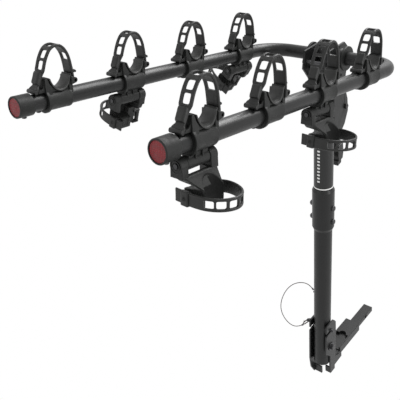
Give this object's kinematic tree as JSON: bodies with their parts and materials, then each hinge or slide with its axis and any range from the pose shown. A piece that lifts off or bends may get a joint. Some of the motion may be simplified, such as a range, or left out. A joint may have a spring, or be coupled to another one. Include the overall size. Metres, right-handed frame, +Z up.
{
  "type": "hitch mounted bike rack",
  "caption": "Hanging bicycle rack for a tow hitch: tilting mast on a hitch bar, fold-down arm fork, strap cradles and swinging anti-sway cradles.",
  "frame": {"origin": "centre of the hitch pin hole, midway across the hitch bar", "axes": "+X across the vehicle to the right seen from behind, +Y forward into the receiver, +Z up"},
  "size_m": [0.5201, 0.9926, 1.2789],
  "materials": {
    "black_powder_coat": "satin black powder coat, fine orange peel",
    "black_zinc": "black zinc plated fasteners",
    "steel_wire": "dark twisted wire",
    "moulded_plastic": "matte moulded nylon",
    "strap_rubber": "satin strap rubber",
    "soft_liner": "soft matte liner",
    "red_reflector": "deep red prismatic reflector",
    "printed_wrap": "plain black wrap with a pale border line"
  },
  "bodies": {
    "hitch_base": {"hitch_bar": "black_powder_coat", "bar_end_cap": "moulded_plastic", "hitch_adapter": "black_powder_coat", "base_plate_right": "black_powder_coat", "base_plate_left": "black_powder_coat", "pivot_bolt": "black_zinc", "pivot_nut": "black_zinc", "pivot_washers": "black_zinc"},
    "mast": {"mast_lower_tube": "black_powder_coat", "mast_upper_tube": "black_powder_coat", "mast_collar": "black_powder_coat", "collar_bolts": "black_zinc", "collar_nuts": "black_zinc", "mast_label": "printed_wrap", "head_plate_right": "black_powder_coat", "head_plate_left": "black_powder_coat", "head_bushings": "moulded_plastic", "head_bolts": "black_zinc", "tether_anchor": "black_zinc", "tether_cable": "steel_wire", "tether_ferrules": "steel_wire"},
    "release_lever": {"release_lever": "black_powder_coat"},
    "tilt_pin": {"tilt_pin": "black_zinc", "pin_ring": "steel_wire"},
    "arms": {"arm_tube": "black_powder_coat", "latch_sector": "black_powder_coat", "end_cap_right": "moulded_plastic", "end_cap_left": "moulded_plastic", "reflector_right": "red_reflector", "reflector_left": "red_reflector", "cap_screws": "black_zinc", "cradle_screws": "black_zinc", "strap_pins": "black_zinc", "sway_hinge_pins": "black_zinc", "saddle_pads_right": "soft_liner", "saddle_pads_left": "soft_liner", "cradle_right_1": "moulded_plastic", "cradle_right_2": "moulded_plastic", "cradle_right_3": "moulded_plastic", "cradle_right_4": "moulded_plastic", "cradle_left_1": "moulded_plastic", "cradle_left_2": "moulded_plastic", "cradle_left_3": "moulded_plastic", "cradle_left_4": "moulded_plastic"},
    "strap_right_1": {"strap_right_1": "strap_rubber"},
    "sway_cradle_right_1": {"sway_cradle_right_1": "moulded_plastic"},
    "sway_strap_right_1": {"sway_strap_right_1": "strap_rubber"},
    "strap_right_2": {"strap_right_2": "strap_rubber"},
    "strap_right_3": {"strap_right_3": "strap_rubber"},
    "sway_cradle_right_3": {"sway_cradle_right_3": "moulded_plastic"},
    "sway_strap_right_3": {"sway_strap_right_3": "strap_rubber"},
    "strap_right_4": {"strap_right_4": "strap_rubber"},
    "strap_left_1": {"strap_left_1": "strap_rubber"},
    "strap_left_2": {"strap_left_2": "strap_rubber"},
    "sway_cradle_left_2": {"sway_cradle_left_2": "moulded_plastic"},
    "sway_strap_left_2": {"sway_strap_left_2": "strap_rubber"},
    "strap_left_3": {"strap_left_3": "strap_rubber"},
    "strap_left_4": {"strap_left_4": "strap_rubber"},
    "sway_cradle_left_4": {"sway_cradle_left_4": "moulded_plastic"},
    "sway_strap_left_4": {"sway_strap_left_4": "strap_rubber"}
  },
  "joints": [
    {"name": "mast_tilt", "type": "hinge", "parent": "hitch_base", "child": "mast", "pos_m": [0, -0.25729, 0.08988], "axis": [1, 0, 0], "range_deg": [0, 85]},
    {"name": "arms_fold", "type": "hinge", "parent": "mast", "child": "arms", "pos_m": [0, -0.1876, 1.005], "axis": [1, 0, 0], "range_deg": [0, 95]},
    {"name": "release_lever_pull", "type": "hinge", "parent": "mast", "child": "release_lever", "pos_m": [0, -0.163, 0.868], "axis": [-1, 0, 0], "range_deg": [0, 6], "stiffness_Nm_per_rad": 2, "springref_deg": -11.46},
    {"name": "tilt_pin_pull", "type": "slide", "parent": "mast", "child": "tilt_pin", "axis": [-1, 0, 0], "range_m": [0, 0.075]},
    {"name": "strap_right_1_open", "type": "hinge", "parent": "arms", "child": "strap_right_1", "pos_m": [0.17445, -0.81547, 1.1599], "axis": [-1, 0, 0], "range_deg": [0, 75]},
    {"name": "sway_right_1_swing", "type": "hinge", "parent": "arms", "child": "sway_cradle_right_1", "pos_m": [0.17445, -0.85802, 1.10462], "axis": [0, -0.981, 0.1942], "range_deg": [-25, 60]},
    {"name": "sway_strap_right_1_open", "type": "hinge", "parent": "sway_cradle_right_1", "child": "sway_strap_right_1", "pos_m": [0.18145, -0.84016, 1.04552], "axis": [0, 0.1942, 0.981], "range_deg": [0, 70]},
    {"name": "strap_right_2_open", "type": "hinge", "parent": "arms", "child": "strap_right_2", "pos_m": [0.17445, -0.64086, 1.12533], "axis": [-1, 0, 0], "range_deg": [0, 75]},
    {"name": "strap_right_3_open", "type": "hinge", "parent": "arms", "child": "strap_right_3", "pos_m": [0.17445, -0.46625, 1.09076], "axis": [-1, 0, 0], "range_deg": [0, 75]},
    {"name": "sway_right_3_swing", "type": "hinge", "parent": "arms", "child": "sway_cradle_right_3", "pos_m": [0.17445, -0.5088, 1.03547], "axis": [0, -0.981, 0.1942], "range_deg": [-25, 60]},
    {"name": "sway_strap_right_3_open", "type": "hinge", "parent": "sway_cradle_right_3", "child": "sway_strap_right_3", "pos_m": [0.18145, -0.49094, 0.97637], "axis": [0, 0.1942, 0.981], "range_deg": [0, 70]},
    {"name": "strap_right_4_open", "type": "hinge", "parent": "arms", "child": "strap_right_4", "pos_m": [0.17445, -0.29164, 1.05618], "axis": [-1, 0, 0], "range_deg": [0, 75]},
    {"name": "strap_left_1_open", "type": "hinge", "parent": "arms", "child": "strap_left_1", "pos_m": [-0.17445, -0.81547, 1.1599], "axis": [-1, 0, 0], "range_deg": [0, 75]},
    {"name": "strap_left_2_open", "type": "hinge", "parent": "arms", "child": "strap_left_2", "pos_m": [-0.17445, -0.63301, 1.12378], "axis": [-1, 0, 0], "range_deg": [0, 75]},
    {"name": "sway_left_2_swing", "type": "hinge", "parent": "arms", "child": "sway_cradle_left_2", "pos_m": [-0.17445, -0.67556, 1.06849], "axis": [0, 0.981, -0.1942], "range_deg": [-40, 45]},
    {"name": "sway_strap_left_2_open", "type": "hinge", "parent": "sway_cradle_left_2", "child": "sway_strap_left_2", "pos_m": [-0.19532, -0.65699, 1.01299], "axis": [-0.2588, -0.1876, -0.9475], "range_deg": [0, 70]},
    {"name": "strap_left_3_open", "type": "hinge", "parent": "arms", "child": "strap_left_3", "pos_m": [-0.17445, -0.45055, 1.08765], "axis": [-1, 0, 0], "range_deg": [0, 75]},
    {"name": "strap_left_4_open", "type": "hinge", "parent": "arms", "child": "strap_left_4", "pos_m": [-0.17445, -0.2681, 1.05152], "axis": [-1, 0, 0], "range_deg": [0, 75]},
    {"name": "sway_left_4_swing", "type": "hinge", "parent": "arms", "child": "sway_cradle_left_4", "pos_m": [-0.17445, -0.31065, 0.99623], "axis": [0, 0.981, -0.1942], "range_deg": [-57, 28]},
    {"name": "sway_strap_left_4_open", "type": "hinge", "parent": "sway_cradle_left_4", "child": "sway_strap_left_4", "pos_m": [-0.20927, -0.29046, 0.9489], "axis": [-0.5299, -0.1647, -0.8319], "range_deg": [0, 70]}
  ]
}
